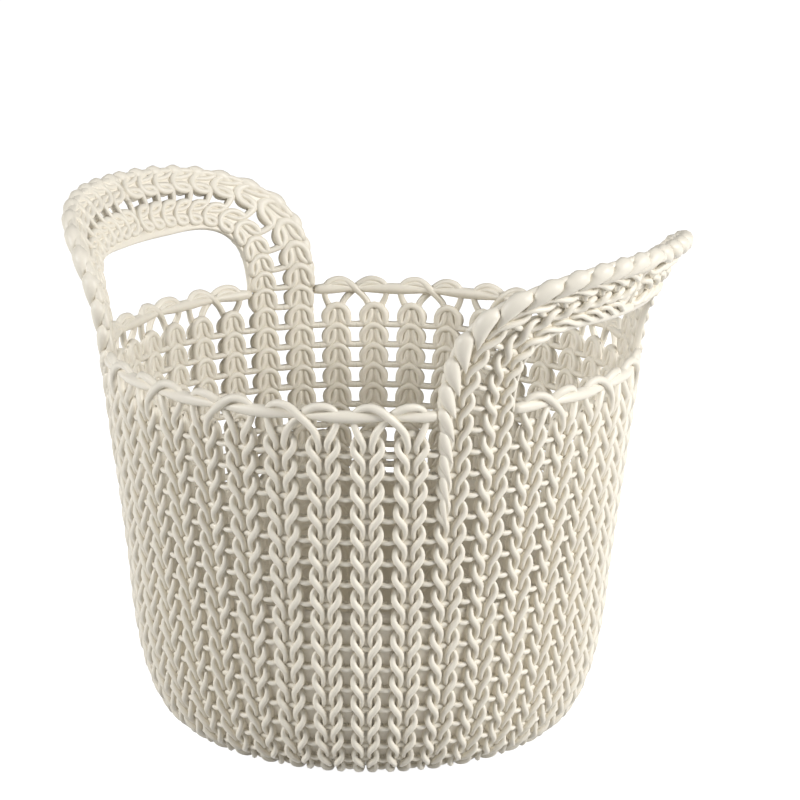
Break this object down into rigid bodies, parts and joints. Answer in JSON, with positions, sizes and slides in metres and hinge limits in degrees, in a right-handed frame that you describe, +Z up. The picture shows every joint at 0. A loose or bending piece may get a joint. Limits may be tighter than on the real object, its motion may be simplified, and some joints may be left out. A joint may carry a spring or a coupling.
{
  "type": "storage basket",
  "caption": "Round moulded storage basket with a knit-look wall, a lashed rim and two flared arched handles.",
  "frame": {"origin": "middle of the flat base, on the ground", "axes": "+Z up through the mouth, +X through the right handle, +Y to the back"},
  "size_m": [0.2352, 0.1982, 0.1898],
  "materials": {
    "cream_plastic": "cream off-white moulded plastic with a soft satin sheen"
  },
  "bodies": {
    "root": {"base_cup": "cream_plastic", "course_hoop_09": "cream_plastic", "course_hoop_10": "cream_plastic", "course_hoop_11": "cream_plastic", "course_hoop_12": "cream_plastic", "course_hoop_13": "cream_plastic", "course_hoop_14": "cream_plastic", "course_hoop_15": "cream_plastic", "course_hoop_16": "cream_plastic", "course_hoop_17": "cream_plastic", "right_column_01": "cream_plastic", "right_column_02": "cream_plastic", "right_column_03": "cream_plastic", "right_column_04": "cream_plastic", "right_column_05": "cream_plastic", "right_column_06": "cream_plastic", "left_column_01": "cream_plastic", "left_column_02": "cream_plastic", "left_column_03": "cream_plastic", "left_column_04": "cream_plastic", "left_column_05": "cream_plastic", "left_column_06": "cream_plastic", "back_column_01": "cream_plastic", "back_column_02": "cream_plastic", "back_column_03": "cream_plastic", "back_column_04": "cream_plastic", "back_column_05": "cream_plastic", "back_column_06": "cream_plastic", "back_column_07": "cream_plastic", "back_column_08": "cream_plastic", "back_column_09": "cream_plastic", "back_column_10": "cream_plastic", "front_column_01": "cream_plastic", "front_column_02": "cream_plastic", "front_column_03": "cream_plastic", "front_column_04": "cream_plastic", "front_column_05": "cream_plastic", "front_column_06": "cream_plastic", "front_column_07": "cream_plastic", "front_column_08": "cream_plastic", "front_column_09": "cream_plastic", "front_column_10": "cream_plastic", "right_rim_cord": "cream_plastic", "left_rim_cord": "cream_plastic", "back_rim_cord": "cream_plastic", "front_rim_cord": "cream_plastic", "right_rim_lashing": "cream_plastic", "left_rim_lashing": "cream_plastic", "back_rim_lashing": "cream_plastic", "front_rim_lashing": "cream_plastic", "right_handle_outer_band": "cream_plastic", "right_handle_inner_band": "cream_plastic", "right_handle_hole_lip": "cream_plastic", "left_handle_outer_band": "cream_plastic", "left_handle_inner_band": "cream_plastic", "left_handle_hole_lip": "cream_plastic"}
  },
  "joints": []
}
